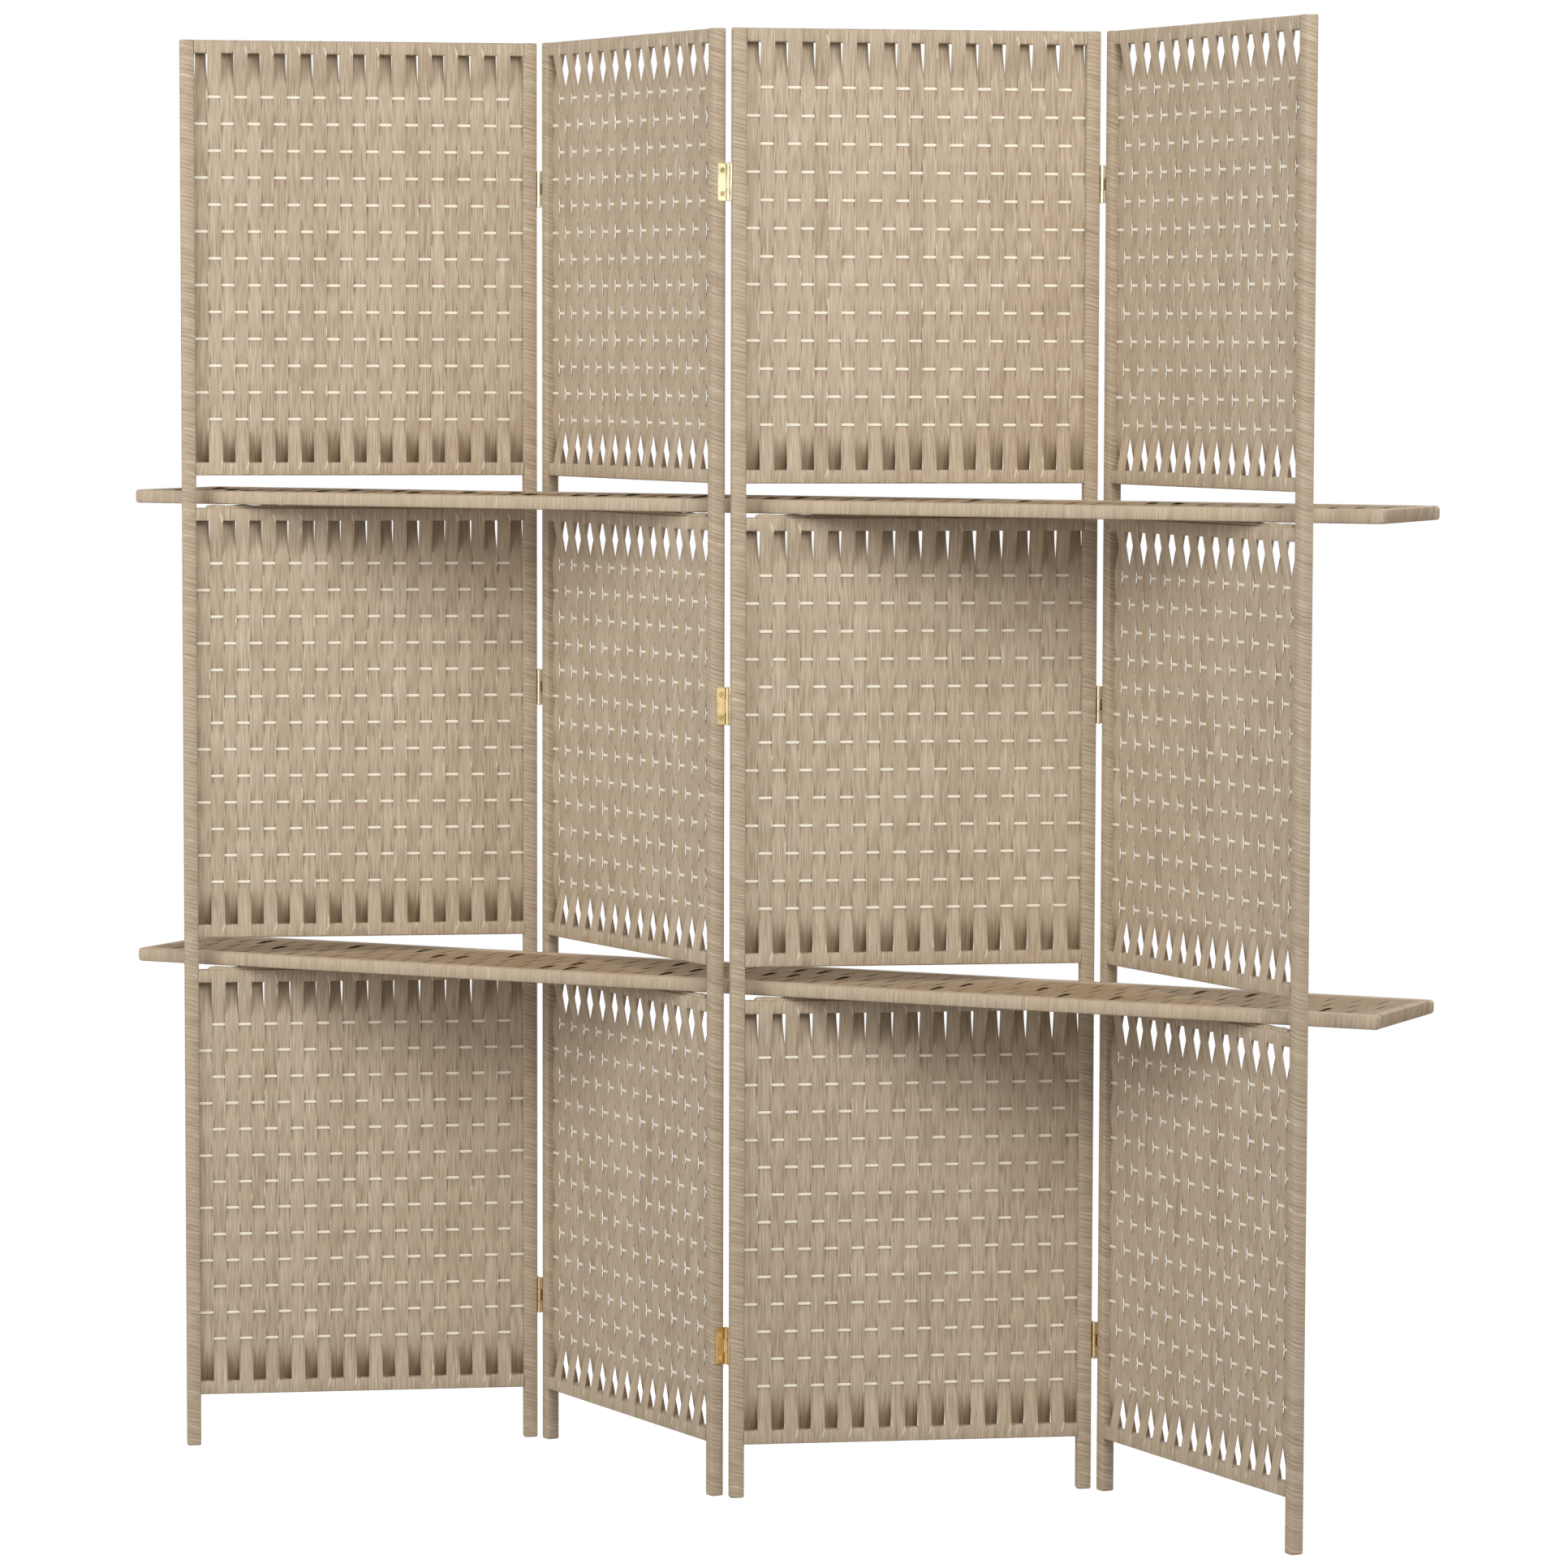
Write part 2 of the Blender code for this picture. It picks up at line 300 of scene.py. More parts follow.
def ribbonMaterial(name, look):
    edges = ribbonEdges
    material, shader = newMaterial(
        name, {"Roughness": edges["roughness"], "Specular IOR Level": look["specular"]})
    across, along = attribute("across"), attribute("along")
    number, onRail = attribute("ribbonId"), attribute("onRail")
    fibres = fibresOf(across, along, number, Contrast=look["contrast"])
    colour = fibreColour(fibres["Tone"], look["tint"])
    # Here and there the right edge of a strip gets a painted highlight
    stretch = noise(vector(times(along, edges["turnRun"]), number, edges["turnRow"]), detail=1.0)
    turned = ramp(stretch, *edges["turned"], 0.0, look["paleEdges"], smooth=True)
    pale = times(ramp(across, *edges["rim"], smooth=True), turned)
    # The cut edges get a painted highlight, and so does the fold where a strip turns over the rail
    cut = do("GREATER_THAN", do("ABSOLUTE", across), edges["cutFrom"])
    pale = do("MAXIMUM", pale, times(cut, look["cutEdge"]))
    foldLine = do("MULTIPLY_ADD", onRail, edges["foldSlope"], edges["foldStart"])
    off = do("ABSOLUTE", do("SUBTRACT", across, foldLine))
    fold = times(ramp(off, *edges["foldWidth"], edges["foldPale"], 0.0),
                 ramp(onRail, *edges["foldOn"]),
                 ramp(onRail, *edges["foldOff"], 1.0, 0.0),
                 do("LESS_THAN", chanceOf(number), look["foldShare"]))
    colour = mixColour(colour, fibreColours["pale"], do("MAXIMUM", pale, fold))
    # Painted shade: strips are darker where they dive under their neighbours and behind the rails
    edge = ramp(do("ABSOLUTE", across), look["dashStart"], look["dashEnd"], 0.0,
                look["dashDepth"], smooth=True)
    shade = times(edge, attribute("underCrossing"))
    shade = do("MAXIMUM", shade, attribute("behindRail"))
    colour = mixColour(colour, look["shade"], shade, "MULTIPLY")
    finishShader(shader, colour, fibres["Height"], fibreBump)
    return material


# Wound strips. Their turns differ in tone, in a painted highlight at one edge, and in how deep the seams
# lie, which sets both their bump and their painted shade
woundLooks = {
    "stileWrap": {"streaks": 4.0, "contrast": 1.2, "seamDepth": 1.1, "paleTurns": 0.4,
                  "tint": plainTint},
    "railWrap": {"streaks": 5.0, "contrast": 1.6, "seamDepth": 0.5, "paleTurns": 0.4,
                 "tint": plainTint},
    "shelfWrap": {"streaks": 5.0, "contrast": 1.0, "seamDepth": 0.3, "paleTurns": 0.12,
                  "tint": plainTint},
    # The end rails are tinted darker as painted shade
    "shelfEndWrap": {"streaks": 4.0, "contrast": 1.6, "seamDepth": 0.9, "paleTurns": 0.2,
                     "tint": (0.84, 0.79, 0.73)},
}
turnLook = {"roughness": 0.68, "specular": 0.25, "run": 26.0, "ownStep": 7.3, "ownRun": 40.0,
            "pale": (0.66, 0.72), "paleSide": (0.5, 0.8), "deepSeams": (0.6, 0.35),
            "shallowShare": 0.15, "seam": (0.74, 1.0), "seamHeight": -1.2}


def woundMaterial(name, look):
    turn = turnLook
    material, shader = newMaterial(
        name, {"Roughness": turn["roughness"], "Specular IOR Level": turn["specular"]})
    phase, around = attribute("turnPhase"), attribute("roundAbout")
    share, number = do("FRACT", phase), do("FLOOR", phase)
    across = do("MULTIPLY_ADD", share, 2.0, -1.0)
    fibres = fibresOf(across, around, number, Streaks=look["streaks"],
                      Contrast=look["contrast"], Run=turn["run"])
    colour = fibreColour(fibres["Tone"], look["tint"])
    own = noise(vector(times(number, turn["ownStep"]), times(around, turn["ownRun"])), detail=1.0)
    # Some turns get a painted highlight towards one edge
    pale = times(ramp(own, *turn["pale"], 0.0, look["paleTurns"], smooth=True),
                 ramp(share, *turn["paleSide"], smooth=True))
    colour = mixColour(colour, fibreColours["pale"], pale)
    # The seams sink in the bump and are darkened with painted shade, deeper at some turns
    depth = ramp(own, *turn["deepSeams"], turn["shallowShare"] * look["seamDepth"], look["seamDepth"])
    seam = ramp(do("ABSOLUTE", across), *turn["seam"], 0.0, depth, smooth=True)
    colour = mixColour(colour, fibreColours["seam"], seam, "MULTIPLY")
    height = do("MULTIPLY_ADD", seam, turn["seamHeight"], fibres["Height"])
    finishShader(shader, colour, height, fibreBump)
    return material


stickFinish = {"roughness": 0.55, "grainScale": (60.0, 60.0, 900.0), "bump": (0.2, 0.0003),
               "stops": ((0.25, (0.80, 0.715, 0.575)), (0.5, (0.86, 0.785, 0.65)),
                         (0.75, (0.90, 0.835, 0.71)))}


def stretchedNoise(place, scale):
    stretched = addNode("ShaderNodeMapping", {"Vector": place, "Scale": scale})
    return noise(stretched.outputs[0], detail=3.0)


def stickMaterial(name, look):
    material, shader = newMaterial(name, {"Roughness": look["roughness"]})
    grain = stretchedNoise(objectPlace(), look["grainScale"])
    finishShader(shader, toneColour(grain, look["stops"]), grain, look["bump"])
    return material


brassLooks = {
    "brass": {"low": (0.64, 0.465, 0.22), "high": (0.82, 0.76, 0.56), "rough": (0.23, 0.40)},
    "screwBrass": {"low": (0.80, 0.64, 0.36), "high": (0.52, 0.45, 0.28), "rough": (0.27, 0.44)},
}
brassWearAndReflection = {"brushScale": (140.0, 140.0, 900.0), "cloudScale": 60.0, "cloudEdge": (0.3, 0.62),
             "cloud": (0.78, 0.78, 0.78), "heights": (0.25, 1.6), "brushEdge": (0.3, 0.7),
             "bump": (0.12, 0.0002)}


def brassMaterial(name, look):
    # Painted reflection: the colour changes with height, and the lower hinges are duller and deeper in
    # colour than the upper ones
    wearAndReflection = brassWearAndReflection
    material, shader = newMaterial(name, {"Metallic": 1.0})
    place = objectPlace()
    brushed = stretchedNoise(place, wearAndReflection["brushScale"])
    cloudy = noise(place, wearAndReflection["cloudScale"])
    # Painted reflection by height: paler up high on the leaves, darker up high on the screws
    reflectionShare = ramp(separated(place)["Z"], *wearAndReflection["heights"])
    colour = mixColour(look["low"], look["high"], reflectionShare)
    cloudShare = ramp(cloudy, *wearAndReflection["cloudEdge"], 1.0, 0.0)
    colour = mixColour(colour, wearAndReflection["cloud"], cloudShare, "MULTIPLY")
    rough = ramp(brushed, *wearAndReflection["brushEdge"], *look["rough"])
    feed(shader.inputs["Roughness"], rough)
    finishShader(shader, colour, brushed, wearAndReflection["bump"])
    return material


finishes = {name: woundMaterial(name, look) for name, look in woundLooks.items()}
finishes["ribbon"] = ribbonMaterial("ribbonFibre", ribbonLooks["panel"])
finishes["deck"] = ribbonMaterial("deckFibre", ribbonLooks["deck"])
finishes["stick"] = stickMaterial("paleStick", stickFinish)
finishes["brass"] = brassMaterial("brass", brassLooks["brass"])
finishes["screw"] = brassMaterial("screwBrass", brassLooks["screwBrass"])
print("materials made:", len(finishes))


# Geometry Nodes: woven ribbons, the sticks between them, wound cores and screw heads

def geometryTree(name, inputs):
    return newTree(name, "GeometryNodeTree", {**inputs, "Material": None}, {"Geometry": "Geometry"})


def finishTree(geometry, given, result):
    solid = shape("RealizeInstances", {"Geometry": geometry})
    coloured = shape("SetMaterial", {"Geometry": solid, "Material": given["Material"]})
    feed(result[0], coloured)
    return building["tree"]


def position():
    return separated(shape("InputPosition"))


def centredLine(count, pitch, axis):
    # Points a pitch apart along one axis, with their middle at zero
    first = times(do("SUBTRACT", count, 1.0), -0.5, pitch)
    inputs = {"Count": count, "Start Location": vector(**{axis: first}),
              "Offset": vector(**{axis: pitch})}
    return first, shape("MeshLine", inputs, mode="OFFSET")


def numbered(line, name, seed):
    index = shape("InputIndex")
    return storeValue(line, name, do("ADD", index, seed))


stripLook = {"lapShare": 0.1, "bend": 0.14, "nearRail": (0.16, 0.95), "drawTogether": (0.05, 0.95),
             "topWidths": (0.88, 1.16), "pinchFrom": (0.25, 0.75), "pinches": (0.98, 1.02),
             "swayShare": 2.5}


def ribbonTree():
    # Each strip runs from rail to rail, over and under the sticks. Its ends lap round the rails
    given, result = geometryTree(
        "wovenRibbons",
        {"Columns": 25, "Rows": 13, "Cuts": 88, "Ribbon Pitch": 0.0167, "Ribbon Width": 0.018,
         "Even Top Width": 0.0145, "Even Bottom Width": 0.0175, "Odd Rail Width": 0.0175,
         "Thickness": 0.0007, "Crown": 0.0003, "Waist": 0.07, "Stick Pitch": 0.034,
         "Field Length": 0.517, "Weave Offset": 0.0018, "Even Rail Offset": 0.008,
         "Odd Rail Offset": -0.008, "Flat Lap": 0.014, "Lap Radius": 0.003, "Lap End": 0.001,
         "Wander": 0.0004, "Top Shade": 0.5, "Lift": 0.0, "Lift Share": 1.0, "Seed": 0.0})
    look = stripLook

    # The strip's length is 2, so its place along runs from -1 to 1
    size = vector(given["Ribbon Width"], given["Thickness"], 2.0)
    strip = shape("MeshCube", {"Size": size, "Vertices X": 4, "Vertices Y": 2, "Vertices Z": given["Cuts"]})
    here = position()
    halfWidth = times(given["Ribbon Width"], 0.5)
    for name, value in (("across", do("DIVIDE", here["X"], halfWidth)), ("share", here["Z"]),
                        ("face", do("SIGN", here["Y"]))):
        strip = storeValue(strip, name, value)
    firstX, line = centredLine(given["Columns"], given["Ribbon Pitch"], "x")
    line = storeValue(line, "column", shape("InputIndex"))
    line = numbered(line, "ribbonId", given["Seed"])
    copies = shape("InstanceOnPoints", {"Points": line, "Instance": strip})
    ribbons = shape("RealizeInstances", {"Geometry": copies})

    # The last cuts of each end are kept for the lap, where the strip bends most
    lapShare = look["lapShare"]
    halfField = times(given["Field Length"], 0.5)
    arc = times(given["Lap Radius"], quarter)
    lap = do("ADD", do("ADD", given["Flat Lap"], arc), given["Lap End"])
    signedShare = readValue("share")
    share = do("ABSOLUTE", signedShare)
    inField = times(do("MINIMUM", do("DIVIDE", share, 1.0 - lapShare), 1.0), halfField)
    overRail = times(do("MAXIMUM", do("SUBTRACT", share, 1.0 - lapShare), 0.0), 1.0 / lapShare, lap)
    reach = do("ADD", inField, overRail)
    ribbons = storeValue(ribbons, "along", times(reach, do("SIGN", signedShare)))

    across, along = readValue("across"), readValue("along")
    face, number = readValue("face"), readValue("ribbonId")
    reach = do("ABSOLUTE", along)
    odd = do("FLOORED_MODULO", readValue("column"), 2.0)
    sign = do("MULTIPLY_ADD", odd, -2.0, 1.0)
    lastRow = times(do("SUBTRACT", given["Rows"], 1.0), 0.5)
    wovenHalf = times(lastRow, given["Stick Pitch"])
    endLength = do("SUBTRACT", halfField, wovenHalf)
    toRail = ramp(do("DIVIDE", do("SUBTRACT", reach, wovenHalf), endLength), 0.0, 1.0)
    # A bend at the last stick, then nearly straight to the rail
    bend = look["bend"]
    curved = do("SQRT", do("MULTIPLY_ADD", toRail, toRail, bend * bend))
    ease = do("DIVIDE", do("SUBTRACT", curved, bend), math.sqrt(1.0 + bend * bend) - bend)
    woven = do("SUBTRACT", 1.0, ease)

    row = do("DIVIDE", along, given["Stick Pitch"])
    row = do("MINIMUM", do("MAXIMUM", row, times(lastRow, -1.0)), lastRow)
    turn = times(do("ADD", do("ADD", row, lastRow), 1.0), math.pi)
    side = times(do("COSINE", turn), sign)
    railOffset = lerp(given["Even Rail Offset"], given["Odd Rail Offset"], odd)
    depth = lerp(times(side, given["Weave Offset"]), railOffset, ease)

    # Which faces look into a shaded place and get painted shade: under a crossing, or behind the other
    # strips at a rail
    # At some crossings the edge of the strip on top stands up, and the one below it gets painted shade
    crossing = do("ROUND", row)

    def lifted(ribbonNumber):
        chance = addNode("ShaderNodeTexWhiteNoise",
                         {"Vector": vector(ribbonNumber, crossing)}, noise_dimensions="2D")
        return do("LESS_THAN", chance.outputs["Value"], given["Lift Share"])

    under = do("MAXIMUM", times(side, face, -1.0), 0.0)
    beside = lifted(do("ADD", number, do("SIGN", across)))
    ribbons = storeValue(ribbons, "underCrossing", times(under, beside, woven))
    rightEdge = do("MAXIMUM", across, 0.0)
    over = do("MAXIMUM", times(side, -1.0), 0.0)
    depth = do("SUBTRACT", depth, times(given["Lift"], rightEdge, over, lifted(number), woven))
    pastField, railSign = do("SUBTRACT", reach, halfField), do("SIGN", railOffset)
    past = do("DIVIDE", pastField, given["Flat Lap"])
    ribbons = storeValue(ribbons, "onRail", do("MINIMUM", do("MAXIMUM", past, 0.0), 1.0))
    # Painted shade behind the rails, weaker at the top ends
    railSide = do("MAXIMUM", times(railSign, face, -1.0), 0.0)
    nearRail = ramp(toRail, *look["nearRail"], smooth=True)
    high = do("GREATER_THAN", along, 0.0)
    railShade = lerp(1.0, given["Top Shade"], high)
    ribbons = storeValue(ribbons, "behindRail", times(railSide, nearRail, railShade))

    # Round the far edge of the rail
    beyond = do("MAXIMUM", do("SUBTRACT", pastField, given["Flat Lap"]), 0.0)
    angle = do("MINIMUM", do("DIVIDE", beyond, given["Lap Radius"]), quarter)
    rise = times(given["Lap Radius"], do("SINE", angle))
    inward = times(given["Lap Radius"], do("SUBTRACT", 1.0, do("COSINE", angle)))
    inward = do("ADD", inward, do("MAXIMUM", do("SUBTRACT", beyond, arc), 0.0))
    depth = do("SUBTRACT", depth, times(railSign, inward))
    height = do("ADD", do("MINIMUM", reach, do("ADD", halfField, given["Flat Lap"])), rise)
    height = times(height, do("SIGN", along))

    # Slow changes along each strip, its own for every number
    def drift(numberStep, run, row):
        return noise(vector(times(number, numberStep), times(along, run), row))

    crown = times(do("SUBTRACT", 1.0, times(across, across)), given["Crown"])
    depth = do("SUBTRACT", depth, times(crown, woven))
    slow = drift(numberStep=3.7, run=9.0, row=1.0)
    twist = drift(numberStep=2.3, run=18.0, row=7.0)
    pinch = drift(numberStep=5.1, run=22.0, row=3.0)
    twist = times(do("SUBTRACT", twist, 0.5), given["Wander"], woven)
    depth = do("MULTIPLY_ADD", times(across, twist), 2.0, depth)

    # Strips draw together at the rails, those behind the top rail most and unevenly
    topShare = ramp(chanceOf(number), 0.0, 1.0, *look["topWidths"])
    topWidth = times(given["Even Top Width"], topShare)
    evenWidth = lerp(given["Even Bottom Width"], topWidth, high)
    endWidth = do("DIVIDE", lerp(evenWidth, given["Odd Rail Width"], odd), given["Ribbon Width"])
    settled = ramp(toRail, *look["drawTogether"], smooth=True)
    widthShare = lerp(1.0, endWidth, settled)
    widthShare = times(widthShare, ramp(pinch, *look["pinchFrom"], *look["pinches"]))
    waist = times(side, side, given["Waist"], woven)
    widthShare = times(widthShare, do("SUBTRACT", 1.0, waist))
    centreX = do("MULTIPLY_ADD", readValue("column"), given["Ribbon Pitch"], firstX)
    sway = times(do("SUBTRACT", slow, 0.5), given["Wander"], look["swayShare"])
    x = do("ADD", do("ADD", centreX, times(across, halfWidth, widthShare)), sway)
    place = vector(x, do("ADD", position()["Y"], depth), height)
    ribbons = shape("SetPosition", {"Geometry": ribbons, "Position": place})
    return finishTree(ribbons, given, result)


def stickTree():
    given, result = geometryTree(
        "levelSticks", {"Rows": 13, "Stick Pitch": 0.034, "Length": 0.417, "Height": 0.0037,
                        "Depth Share": 0.75, "Waver": 0.0006, "Seed": 0.0})
    line = centredLine(given["Rows"], given["Stick Pitch"], "z")[1]
    line = numbered(line, "stickId", given["Seed"])
    rod = shape("MeshCylinder",
                {"Vertices": 12, "Side Segments": 24, "Fill Segments": 1,
                 "Radius": times(given["Height"], 0.5), "Depth": given["Length"]})
    copies = shape("InstanceOnPoints",
                   {"Points": line, "Instance": rod, "Rotation": (0.0, quarter, 0.0),
                    "Scale": vector(1.0, given["Depth Share"], 1.0)})
    rods = shape("RealizeInstances", {"Geometry": copies})
    # Each stick wavers a little in its own way
    numberStep, run, row = 4.3, 5.0, 2.0
    number = times(readValue("stickId"), numberStep)
    waver = noise(vector(times(position()["X"], run), number, row))
    lift = times(do("SUBTRACT", waver, 0.5), given["Waver"])
    rods = shape("SetPosition", {"Geometry": rods, "Offset": vector(z=lift)})
    return finishTree(rods, given, result)


def woundTree():
    # A core along local Z wound with a flat strip. Its turns lie a little aslant
    given, result = geometryTree(
        "woundCore",
        {"Length": 1.8, "Width": 0.018, "Depth": 0.017, "Corner": 0.003, "Turn Pitch": 0.007,
         "Groove": 0.0003, "Slant": 0.1, "Wander": 0.3, "Rings": 1280, "End Round": 0.001,
         "Wave": 0.0, "Wave Pitch": 0.034, "Seed": 0.0})
    half = times(given["Length"], 0.5)
    path = shape("CurvePrimitiveLine", {"Start": vector(z=times(half, -1.0)), "End": vector(z=half)})
    path = shape("ResampleCurve", {"Curve": path, "Count": given["Rings"]})
    outline = shape("CurvePrimitiveQuadrilateral", {"Width": given["Width"], "Height": given["Depth"]})
    outline = shape("FilletCurve", {"Curve": outline, "Count": 2, "Radius": given["Corner"]}, mode="POLY")
    core = shape("CurveToMesh", {"Curve": path, "Profile Curve": outline, "Fill Caps": True})
    at = position()
    aslant = do("MULTIPLY_ADD", do("ADD", at["X"], at["Y"]), given["Slant"], at["Z"])
    run, row = 60.0, 5.0
    uneven = noise(vector(times(at["Z"], run), given["Seed"], row))
    phase = do("DIVIDE", aslant, given["Turn Pitch"])
    phase = do("MULTIPLY_ADD", do("SUBTRACT", uneven, 0.5), times(given["Wander"], 2.0), phase)
    # The phase stays above zero, and each seed starts at another turn
    seedStep, firstPhase = 37.0, 1000.5
    phase = do("ADD", phase, do("MULTIPLY_ADD", given["Seed"], seedStep, firstPhase))
    core = storeValue(core, "turnPhase", phase)
    core = storeValue(core, "roundAbout", do("SUBTRACT", at["X"], at["Y"]))
    # Each turn is flat, with a narrow groove at its edges
    inTurn = do("MULTIPLY_ADD", do("FRACT", phase), 2.0, -1.0)
    flatness = 4.0
    dip = times(do("POWER", do("ABSOLUTE", inTurn), flatness), given["Groove"])
    # The ends are rounded over
    pastEnd = do("SUBTRACT", do("ABSOLUTE", at["Z"]), do("SUBTRACT", half, given["End Round"]))
    fall = do("DIVIDE", do("MAXIMUM", pastEnd, 0.0), do("MAXIMUM", given["End Round"], 1e-6))
    level = do("SQRT", do("MAXIMUM", do("SUBTRACT", 1.0, times(fall, fall)), 0.0))
    dip = do("MULTIPLY_ADD", do("SUBTRACT", 1.0, level), given["End Round"], dip)
    push = addNode("ShaderNodeVectorMath", {0: shape("InputNormal"), 3: times(dip, -1.0)},
                   operation="SCALE").outputs[0]
    outward = addNode("ShaderNodeVectorMath", {0: push, 1: (1.0, 1.0, 0.0)},
                      operation="MULTIPLY").outputs[0]
    core = shape("SetPosition", {"Geometry": core, "Offset": outward})
    # A wave lowers the crest along the length
    at = position()
    angle = do("DIVIDE", times(at["Z"], 2.0 * math.pi), given["Wave Pitch"])
    trough = do("MULTIPLY_ADD", do("COSINE", angle), 0.5, 0.5)
    lowered = times(at["X"], given["Wave"], times(trough, -1.0))
    core = shape("SetPosition", {"Geometry": core, "Offset": vector(lowered)})
    return finishTree(core, given, result)


def screwTree():
    # Countersunk heads with a cross recess, in a row along local Z and facing local Y
    smallEnd, recess = 0.6, 1.25      # shares of the head's radius
    given, result = geometryTree(
        "screwHeads", {"Count": 2, "Spacing": 0.03, "Radius": 0.0028, "Height": 0.001,
                       "Slot Width": 0.0009, "Slot Depth": 0.0005})
    head = shape("MeshCone",
                 {"Vertices": 20, "Side Segments": 1, "Fill Segments": 1, "Radius Top": given["Radius"],
                  "Radius Bottom": times(given["Radius"], smallEnd), "Depth": given["Height"]})
    down = vector(z=times(given["Height"], -1.0))
    head = shape("Transform", {"Geometry": head, "Translation": down})
    long, wide = times(given["Radius"], recess), given["Slot Width"]
    deep = times(given["Slot Depth"], 2.0)
    slotted = addNode("GeometryNodeMeshBoolean", {"Mesh 1": head}, operation="DIFFERENCE")
    for size in ((long, wide, deep), (wide, long, deep)):
        bar = shape("MeshCube", {"Size": vector(*size)})
        feed(slotted.inputs["Mesh 2"], bar)
    line = centredLine(given["Count"], given["Spacing"], "z")[1]
    copies = shape("InstanceOnPoints", {"Points": line, "Instance": slotted.outputs[0],
                                        "Rotation": (-quarter, 0.0, 0.0)})
    return finishTree(copies, given, result)


trees = {"ribbons": ribbonTree(), "sticks": stickTree(), "wound": woundTree(), "screws": screwTree()}


def inputKey(label):
    # The input "Ribbon Pitch" is given as ribbonPitch
    words = label.split()
    return words[0].lower() + "".join(words[1:])


def grow(name, treeName, finish, place, look, **own):
    # Evaluates a tree into a plain mesh, set in its place. A piece's own values go before its look's
    values = {**look, **own, "material": finishes[finish]}
    piece = addObject(name, bpy.data.meshes.new(name))
    modifier = piece.modifiers.new(treeName, "NODES")
    modifier.node_group = trees[treeName]
    for item in trees[treeName].interface.items_tree:
        key = inputKey(item.name)
        if item.in_out == "INPUT" and key in values:
            modifier[item.identifier] = values[key]
    bpy.context.view_layer.update()
    mesh = plainMesh(piece)
    piece.modifiers.clear()
    mesh.name = name
    piece.data = mesh
    mesh.transform(place)
    return piece


ringsPerTurn = 4


def wind(name, finish, place, look, size, seed, **own):
    # A wound core of (length, width, depth)
    length, width, depth = size
    turnPitch = own.get("turnPitch", look.get("turnPitch"))
    values = {"rings": round(length / turnPitch * ringsPerTurn), **own}
    return grow(name, "wound", finish, place, look, length=length, width=width, depth=depth,
                seed=seed, **values)


def joined(name, parts):
    # One mesh of several new pieces
    work = bmesh.new()
    materials = []
    for part in parts:
        first = len(work.faces)
        work.from_mesh(part.data)
        work.faces.ensure_lookup_table()
        for face in work.faces[first:]:
            material = part.data.materials[face.material_index]
            if material not in materials:
                materials.append(material)
            face.material_index = materials.index(material)
    mesh = bpy.data.meshes.new(name)
    work.to_mesh(mesh)
    work.free()
    for material in materials:
        mesh.materials.append(material)
    for part in parts:
        bpy.data.objects.remove(part, do_unlink=True)
    return addObject(name, mesh)


def settle(piece, body, node, sharpAngle=40.0):
    piece.data.shade_smooth()
    piece.data.set_sharp_from_angle(angle=math.radians(sharpAngle))
    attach(piece, body)
    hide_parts(node)


# Stiles: wound from the foot to the top
stileLook = {"corner": 0.0034, "turnPitch": 0.0052, "groove": 0.00012, "slant": 0.24, "wander": 0.7,
             "endRound": 0.0012}


def panelPoints(node, number):
    # A node's corners in its panel's own directions
    inward = panelPlaces[number].inverted()
    return [inward @ vertex.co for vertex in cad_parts[node].data.vertices]


def stileSize(number):
    points = panelPoints(f"stile_left_{number}", number)
    xs, ys = [p.x for p in points], [p.y for p in points]
    return max(xs) - min(xs), max(ys) - min(ys)


def innerWidth(number):
    left = max(p.x for p in panelPoints(f"stile_left_{number}", number))
    right = min(p.x for p in panelPoints(f"stile_right_{number}", number))
    return right - left


def buildStiles(number):
    for side in ("left", "right"):
        node = f"stile_{side}_{number}"
        place = Matrix.Translation(middleOf(node)) @ panelPlaces[number].to_3x3().to_4x4()
        piece = wind(f"wound_{node}", "stileWrap", place, stileLook,
                     (heightOf(node), *stileSize(number)), number * 2.0 + (side == "right"))
        settle(piece, f"panel_{number}", node)


# Woven sections: two wound rails, the sticks, the ribbons, and the cord bead that carries a shelf
sectionLook = {
    "weave": {"columns": 25, "rows": 13, "cuts": 92, "stickPitch": 0.034, "thickness": 0.0006,
              "crown": 0.0003, "waist": 0.055, "weaveOffset": 0.0012, "wander": 0.0004,
              "topShade": 0.3, "lapRadius": 0.0028, "lapEnd": 0.0012,
              "height": 0.0037, "depthShare": 0.38, "waver": 0.0012},
    "widthShare": 1.11, "frontRailShare": 1.04, "rearTopShares": (0.91, 0.88, 0.85, 0.88),
    "rearBottomShare": 1.22,
    "rail": {"corner": 0.0025, "groove": 0.00015, "slant": 0.05, "wander": 0.25, "endRound": 0.0},
    "railHeight": 0.017, "railInset": 0.0004, "railIntoStile": 0.0005, "turnsPerRibbon": 2,
    "railRings": 200,
    "bead": {"corner": 0.0035, "turnPitch": 0.0042, "groove": 0.00015, "slant": 0.2, "wander": 0.4},
    "beadHeight": 0.004, "beadWidth": 0.010, "beadEndGap": 0.012, "beadWaves": (0.3, 0.2, 0.2, 0.2),
    "seedStep": 50.0,
}


